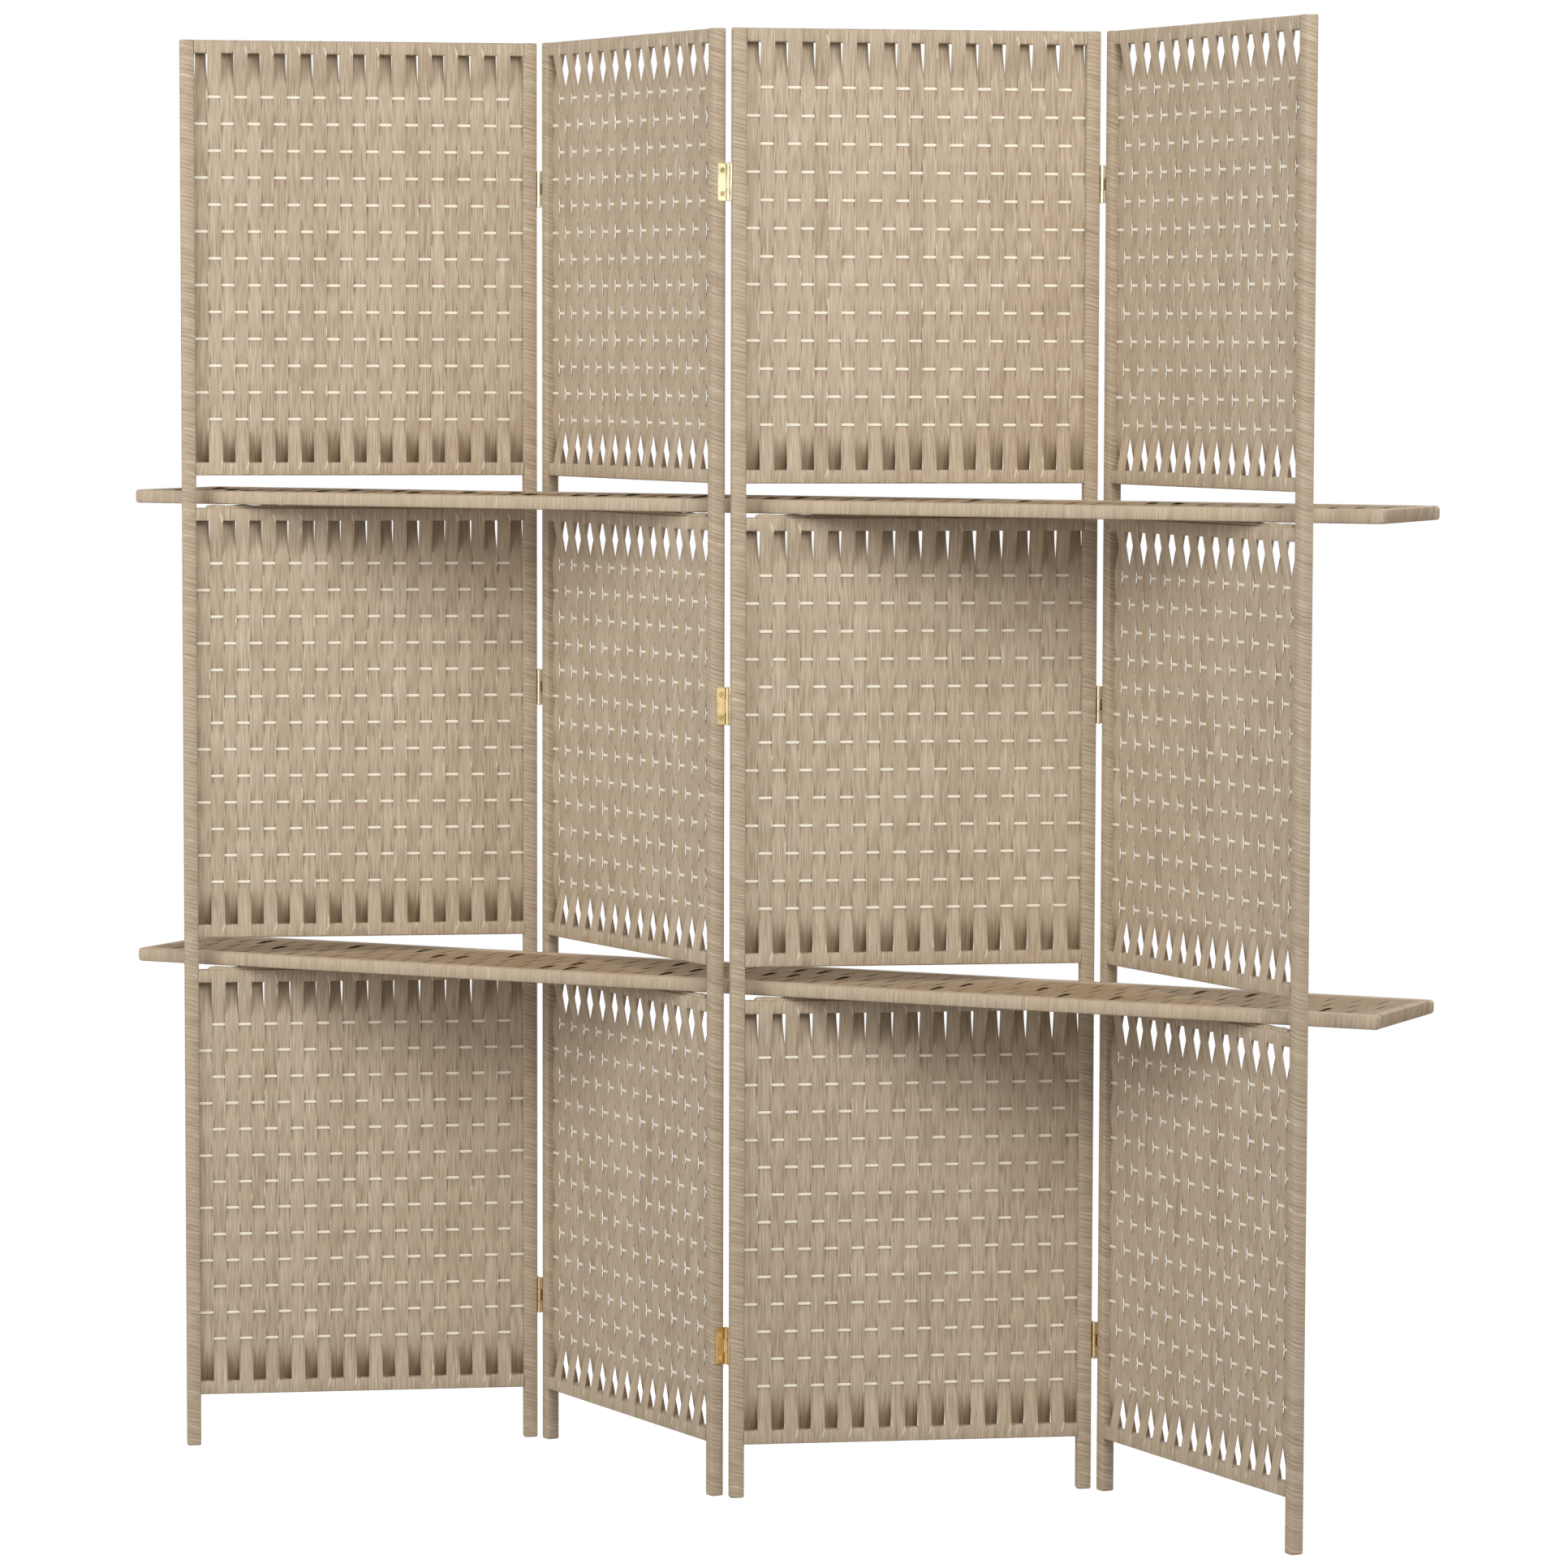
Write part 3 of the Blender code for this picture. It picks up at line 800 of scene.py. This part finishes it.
def buildSection(number, level):
    look = sectionLook
    weave, railHeight, beadHeight = look["weave"], look["railHeight"], look["beadHeight"]
    node = f"{levelNames[level]}_woven_section_{number}"
    # An upper section carries no bead, so its box is the plain height of all three
    height = heightOf(f"upper_woven_section_{number}")
    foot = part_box(node)[0].z
    middle = panelPlaces[number] @ Matrix.Translation((0, 0, foot + height / 2))
    sideways = Matrix.Rotation(quarter, 4, "Y")
    width, depth = innerWidth(number), stileSize(number)[1]
    pitch = width / weave["columns"]
    fieldLength = height - 2 * railHeight
    seed = look["seedStep"] * (len(levelNames) * number + level)
    body, name = f"panel_{number}", f"{levelNames[level]}_{number}"

    railOffset = (depth - weave["thickness"]) / 2
    ribbons = grow(f"ribbons_{name}", "ribbons", "ribbon", middle, weave, seed=seed,
                   ribbonPitch=pitch, ribbonWidth=pitch * look["widthShare"],
                   evenTopWidth=pitch * look["rearTopShares"][number - 1],
                   evenBottomWidth=pitch * look["rearBottomShare"],
                   oddRailWidth=pitch * look["frontRailShare"], fieldLength=fieldLength,
                   evenRailOffset=railOffset, oddRailOffset=-railOffset,
                   flatLap=railHeight - weave["lapRadius"] - weave["thickness"] / 2)
    settle(ribbons, body, node)
    railLength = width + 2 * look["railIntoStile"]
    sticks = grow(f"sticks_{name}", "sticks", "stick", middle, weave, length=railLength, seed=seed)
    settle(sticks, body, node)

    railSize = (railLength, railHeight - look["railInset"], depth - 2 * look["railInset"])
    wound = []
    for side in (-1, 1):
        upright = Matrix.Translation((0, 0, side * (fieldLength + railHeight) / 2))
        wound.append(wind(f"rail_{name}_{side}", "railWrap", middle @ upright @ sideways, look["rail"],
                          railSize, seed / 10 + side, turnPitch=pitch / look["turnsPerRibbon"],
                          rings=look["railRings"]))
    if heightOf(node) > height + beadHeight / 2:
        place = middle @ Matrix.Translation((0, 0, height / 2)) @ sideways
        beadSize = (width - 2 * look["beadEndGap"], 2 * beadHeight, look["beadWidth"])
        wound.append(wind(f"bead_{name}", "railWrap", place, look["bead"], beadSize, seed / 10 + 5,
                          endRound=beadHeight, wave=look["beadWaves"][number - 1],
                          wavePitch=2 * pitch))
    settle(joined(f"wound_rails_{name}", wound), body, node)


for number in panelNumbers:
    buildStiles(number)
    for level in range(len(levelNames)):
        buildSection(number, level)
    print("panel", number, "woven")


# Shelves: four wound rails and a deck woven across three long sticks
shelfLook = {
    "weave": {"columns": 99, "rows": 3, "cuts": 60, "stickPitch": 0.052, "thickness": 0.0006,
              "crown": 0.0002, "waist": 0.0, "weaveOffset": 0.0006, "flatLap": 0.010,
              "lapRadius": 0.0006, "lapEnd": 0.0, "wander": 0.0003, "lift": 0.0014,
              "liftShare": 0.22, "height": 0.0030, "depthShare": 0.2, "waver": 0.0006},
    "widthShare": 1.18, "topAir": 0.0010,
    "rail": {"corner": 0.0036, "groove": 0.00015, "turnPitch": 0.0062, "wander": 0.6},
    "railSlant": 0.06, "endSlant": 0.5, "railEndRound": 0.0042,
    "seeds": {"lower_shelf": 900.0, "upper_shelf": 1100.0},
}


def buildShelf(name):
    look = shelfLook
    weave = look["weave"]
    parts = ("front_rail", "rear_rail", "left_end", "right_end")
    nodes = {part: f"{name}_{part}" for part in (*parts, "deck")}
    frontLow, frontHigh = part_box(nodes["front_rail"])
    rearLow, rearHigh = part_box(nodes["rear_rail"])
    length, railWidth, thickness = (high - low for low, high in zip(frontLow, frontHigh))
    centre = (frontLow + rearHigh) / 2
    pitch = (length - 2 * railWidth) / weave["columns"]
    crest = weave["weaveOffset"] + weave["thickness"] / 2 + weave["crown"]
    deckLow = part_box(nodes["deck"])[0].z
    # The strips lie over the frame and under it, so the deck is two layers
    layers = {"ribbons": (frontHigh.z - crest - look["topAir"], -quarter),
              "ribbons_below": (deckLow + crest, quarter)}
    middles = {layer: Matrix.Translation((centre.x, centre.y, z)) @ Matrix.Rotation(angle, 4, "X")
               for layer, (z, angle) in layers.items()}
    seed = look["seeds"][name]

    ribbonWidth, railOffset = pitch * look["widthShare"], -weave["weaveOffset"] / 2
    for layer, middle in middles.items():
        ribbons = grow(f"{name}_{layer}", "ribbons", "deck", middle, weave, seed=seed,
                       ribbonPitch=pitch, ribbonWidth=ribbonWidth, evenTopWidth=ribbonWidth,
                       evenBottomWidth=ribbonWidth, oddRailWidth=ribbonWidth,
                       fieldLength=rearLow.y - frontHigh.y, evenRailOffset=railOffset,
                       oddRailOffset=railOffset)
        settle(ribbons, name, nodes["deck"])
    sticks = grow(f"{name}_sticks", "sticks", "railWrap", middles["ribbons"], weave,
                  length=length - railWidth, seed=seed)
    settle(sticks, name, nodes["deck"])

    for part in parts:
        low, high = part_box(nodes[part])
        size = high - low
        if part.endswith("rail"):
            finish, turn = "shelfWrap", Matrix.Rotation(quarter, 4, "Y")
            lengths, slant, endRound = (size.x, thickness, size.y), look["railSlant"], look["railEndRound"]
        else:
            finish, turn = "shelfEndWrap", Matrix.Rotation(-quarter, 4, "X")
            lengths, slant, endRound = (size.y, size.x, thickness), look["endSlant"], 0.0
        place = Matrix.Translation(middleOf(nodes[part])) @ turn
        piece = wind(f"wound_{nodes[part]}", finish, place, look["rail"], lengths,
                     seed / 100 + len(part), slant=slant, endRound=endRound)
        settle(piece, name, nodes[part])


for name in shelfNames:
    buildShelf(name)
    print(name, "woven")


# Hinges: two leaves with rounded corners and countersunk screws, knuckles, and a headed pin
hingeLook = {"places": ("bottom", "middle", "top"), "cornerRadius": 0.0016, "cornerSteps": 5,
             "rim": 0.00015, "knuckleSides": 28, "knuckleRadius": 0.0024, "knuckleGap": 0.0003,
             "knuckleRim": 0.0002, "screwHole": 0.0031, "screwSpacingShare": 0.62,
             "screwSunk": 0.00008, "holeSteps": 24, "pinRadius": 0.001, "pinHeadRadius": 0.0017,
             "pinHeadHeight": 0.0007, "domeAngles": (0.0, 0.5, 1.0, quarter), "sharpAngle": 30.0,
             "knuckles": {"left": (-1, 1), "right": (0,)}, "knuckleCount": 3,
             "screws": {"count": 2, "radius": 0.0028, "height": 0.0009, "slotWidth": 0.0009,
                        "slotDepth": 0.0005}}


def addSpline(curve, points):
    spline = curve.splines.new("POLY")
    spline.points.add(len(points) - 1)
    for point, (x, y) in zip(spline.points, points):
        point.co = (x, y, 0.0, 1.0)
    spline.use_cyclic_u = True


def arcPoints(centre, radius, start, sweep, steps, count):
    angles = [start + sweep * step / steps for step in range(count)]
    return [(centre[0] + radius * math.cos(a), centre[1] + radius * math.sin(a)) for a in angles]


def plateMesh(outline, holes, thickness, rim):
    # A flat plate in local XY, centred on z = 0, with softened rims
    curve = bpy.data.curves.new("plate", "CURVE")
    curve.dimensions = "2D"
    curve.fill_mode = "BOTH"
    curve.extrude = thickness / 2 - rim
    curve.bevel_depth = rim
    curve.bevel_resolution = 1
    curve.offset = -rim
    for points in [outline] + holes:
        addSpline(curve, points)
    holder = addObject("plate", curve)
    mesh = plainMesh(holder)
    bpy.data.objects.remove(holder, do_unlink=True)
    return mesh


def turnedMesh(profile, sides):
    # (radius, height) points turned about local Z
    work = bmesh.new()
    ring = [work.verts.new((radius, 0.0, height)) for radius, height in profile]
    edges = [work.edges.new(pair) for pair in zip(ring, ring[1:])]
    bmesh.ops.spin(work, geom=ring + edges, cent=(0, 0, 0), axis=(0, 0, 1), angle=2 * math.pi,
                   steps=sides)
    bmesh.ops.remove_doubles(work, verts=work.verts[:], dist=1e-6)
    bmesh.ops.recalc_face_normals(work, faces=work.faces[:])
    mesh = bpy.data.meshes.new("turned")
    work.to_mesh(mesh)
    work.free()
    return mesh


def knuckleProfile(radius, length, rim):
    half = length / 2
    return [(0.0, -half), (radius - rim, -half), (radius, -half + rim),
            (radius, half - rim), (radius - rim, half), (0.0, half)]


def brassPiece(name, mesh, place):
    mesh.transform(place)
    mesh.materials.clear()
    mesh.materials.append(finishes["brass"])
    return addObject(name, mesh)


def buildLeaf(joint, hinge, side, axis):
    look = hingeLook
    number = joint if side == "left" else joint + 1
    node = f"hinge_{hinge}_{side}_leaf"
    turn = panelPlaces[number].to_3x3()
    points = [turn.transposed() @ (vertex.co - axis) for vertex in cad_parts[node].data.vertices]
    height = 2 * max(p.z for p in points)
    farY = max(points, key=lambda p: abs(p.y)).y
    facesX = [p.x for p in points if abs(p.y - farY) < look["knuckleGap"]]
    outX, inX = sorted((min(facesX), max(facesX)), key=abs, reverse=True)
    thickness = abs(outX - inX)
    outward = 1 if farY > 0 else -1
    reach = abs(farY)
    clear = look["knuckleRadius"] + look["knuckleGap"]
    step = height / look["knuckleCount"]

    # Outline: x from the barrel outwards, y upwards, with rounded far corners
    corner, steps, holeSteps = look["cornerRadius"], look["cornerSteps"], look["holeSteps"]
    outline = [(clear, -height / 2)]
    for centreY, start in ((corner - height / 2, -quarter), (height / 2 - corner, 0.0)):
        outline += arcPoints((reach - corner, centreY), corner, start, quarter, steps, steps + 1)
    outline.append((clear, height / 2))
    screwX = (clear + reach) / 2
    screwZ = look["screwSpacingShare"] * height / 2
    holes = [arcPoints((screwX, sign * screwZ), look["screwHole"], 0.0, 2 * math.pi, holeSteps, holeSteps)
             for sign in (-1, 1)]
    plate = plateMesh(outline, holes, thickness, look["rim"])
    # Plate axes to panel axes: its x runs along Y, its y upwards, its thickness along X
    stand = Matrix(((0, 0, 1, (outX + inX) / 2), (outward, 0, 0, 0), (0, 1, 0, 0), (0, 0, 0, 1)))
    world = Matrix.Translation(axis) @ turn.to_4x4()
    parts = [brassPiece("plate", plate, world @ stand)]
    for row in look["knuckles"][side]:
        length = step - look["knuckleGap"]
        profile = knuckleProfile(look["knuckleRadius"], length, look["knuckleRim"])
        at = world @ Matrix.Translation((0, 0, row * step))
        parts.append(brassPiece("knuckle", turnedMesh(profile, look["knuckleSides"]), at))
        tab = plateMesh([(0, -length / 2), (clear + corner, -length / 2), (clear + corner, length / 2),
                         (0, length / 2)], [], thickness, look["rim"])
        parts.append(brassPiece("tab", tab, at @ stand))
    # The heads face the hinge line, where the fold opens
    facing = -1 if outX > 0 else 1
    seat = Matrix.Translation((inX - facing * look["screwSunk"], outward * screwX, 0))
    headPlace = world @ seat @ Matrix.Rotation(-facing * quarter, 4, "Z")
    parts.append(grow("screws", "screws", "screw", headPlace, look["screws"], spacing=2 * screwZ))
    piece = joined(f"brass_leaf_{hinge}_{side}", parts)
    settle(piece, f"panel_{number}", node, look["sharpAngle"])


def buildPin(joint, hinge, axis):
    look = hingeLook
    node = f"hinge_{hinge}_pin"
    half = heightOf(node) / 2
    radius, head, rise = look["pinRadius"], look["pinHeadRadius"], look["pinHeadHeight"]
    dome = [(head * math.cos(a), half + rise * math.sin(a)) for a in look["domeAngles"]]
    profile = [(r, -z) for r, z in reversed(dome)] + [(radius, -half), (radius, half)] + dome
    pin = turnedMesh(profile, look["knuckleSides"])
    piece = brassPiece(f"brass_pin_{hinge}", pin, Matrix.Translation(axis))
    settle(piece, f"panel_{joint}", node, look["sharpAngle"])


for joint in (1, 2, 3):
    for place in hingeLook["places"]:
        hinge = f"{joint}_{joint + 1}_{place}"
        axis = middleOf(f"hinge_{hinge}_pin")
        for side in ("left", "right"):
            buildLeaf(joint, hinge, side, axis)
        buildPin(joint, hinge, axis)
print("hinges made")


# Camera and light

cameraLook = {"pixels": 1932, "focalPixels": 7322.8, "axisPixelX": 985.2, "axisPixelY": 1025.3,
              "place": (3.2305, -6.6218, 1.4273), "yaw": -0.44757, "pitch": -0.08311, "roll": 0.00309,
              "sensor": 36.0, "clipEnd": 60.0}


def buildCamera():
    look = cameraLook
    data = bpy.data.cameras.new("camera")
    camera = addObject("camera", data)
    yaw, pitch, roll = look["yaw"], look["pitch"], look["roll"]
    ahead = Vector((math.sin(yaw) * math.cos(pitch), math.cos(yaw) * math.cos(pitch), math.sin(pitch)))
    level = Vector((math.cos(yaw), -math.sin(yaw), 0.0))
    upward = level.cross(ahead)
    right = level * math.cos(roll) + upward * math.sin(roll)
    up = upward * math.cos(roll) - level * math.sin(roll)
    turn = Matrix((right, up, -ahead)).transposed().to_4x4()
    camera.matrix_world = Matrix.Translation(look["place"]) @ turn
    data.sensor_width = look["sensor"]
    data.lens = look["focalPixels"] * look["sensor"] / look["pixels"]
    data.shift_x = -(look["axisPixelX"] - look["pixels"] / 2) / look["pixels"]
    data.shift_y = (look["axisPixelY"] - look["pixels"] / 2) / look["pixels"]
    data.clip_end = look["clipEnd"]
    bpy.context.scene.camera = camera


def seenWhite():
    # 1 for the camera's, glossy and transmission rays
    path = addNode("ShaderNodeLightPath").outputs
    seen = do("MAXIMUM", path["Is Camera Ray"], path["Is Glossy Ray"])
    return do("MAXIMUM", seen, path["Is Transmission Ray"])


# Each lamp's place, size and power
lightLook = {"worldLight": 0.30, "aimHeight": 0.95,
             "lamps": {"right": ((2.4, -2.2, 3.0), 2.2, 94.0),
                       "left": ((-1.6, -2.2, 1.7), 2.2, 46.0),
                       "back": ((0.5, 4.6, 3.0), 3.0, 115.0)}}


def buildLight():
    look = lightLook
    world = bpy.data.worlds.new("studio")
    bpy.context.scene.world = world
    world.use_nodes = True
    building["tree"] = world.node_tree
    background = world.node_tree.nodes["Background"]
    feed(background.inputs["Color"], (1.0, 1.0, 1.0, 1.0))
    feed(background.inputs["Strength"], lerp(look["worldLight"], 1.0, seenWhite()))
    for name, (place, size, power) in look["lamps"].items():
        data = bpy.data.lights.new(name, "AREA")
        data.shape = "SQUARE"
        data.size, data.energy = size, power
        lamp = addObject(name, data)
        lamp.location = place
        lamp.visible_camera = False
        aim = Vector((0.0, 0.0, look["aimHeight"])) - lamp.location
        lamp.rotation_euler = aim.to_track_quat("-Z", "Y").to_euler()


floorLook = {"size": 200.0, "drop": 0.0008, "paint": 0.50, "shadowPaint": 0.22, "glow": 0.93,
             "shadowReach": 1.6, "plainFrom": 3.2, "roughness": 0.9}


def buildFloor():
    # White to the eye. Near the screen it keeps a faint shadow, further out it is plain white
    look = floorLook
    material, shader = newMaterial(
        "floorWhite", {"Roughness": look["roughness"], "Specular IOR Level": 0.0,
                       "Emission Color": (1.0, 1.0, 1.0, 1.0)})
    seen = seenWhite()
    at = separated(objectPlace())
    flat = vector(at["X"], at["Y"])
    distance = addNode("ShaderNodeVectorMath", {0: flat}, operation="LENGTH").outputs["Value"]
    plain = ramp(distance, look["shadowReach"], look["plainFrom"], smooth=True)
    paint = lerp(look["shadowPaint"], 0.0, plain)
    paint = lerp(look["paint"], paint, seen)
    grey = {"Red": paint, "Green": paint, "Blue": paint}
    colour = addNode("ShaderNodeCombineColor", grey).outputs[0]
    feed(shader.inputs["Base Color"], colour)
    feed(shader.inputs["Emission Strength"], times(lerp(look["glow"], 1.0, plain), seen))
    bpy.ops.mesh.primitive_plane_add(size=look["size"], location=(0.0, 0.0, -look["drop"]))
    floor = bpy.context.object
    floor.name = "floor"
    floor.data.materials.append(material)


buildCamera()
buildLight()
buildFloor()
bpy.context.scene.view_settings.view_transform = "Standard"
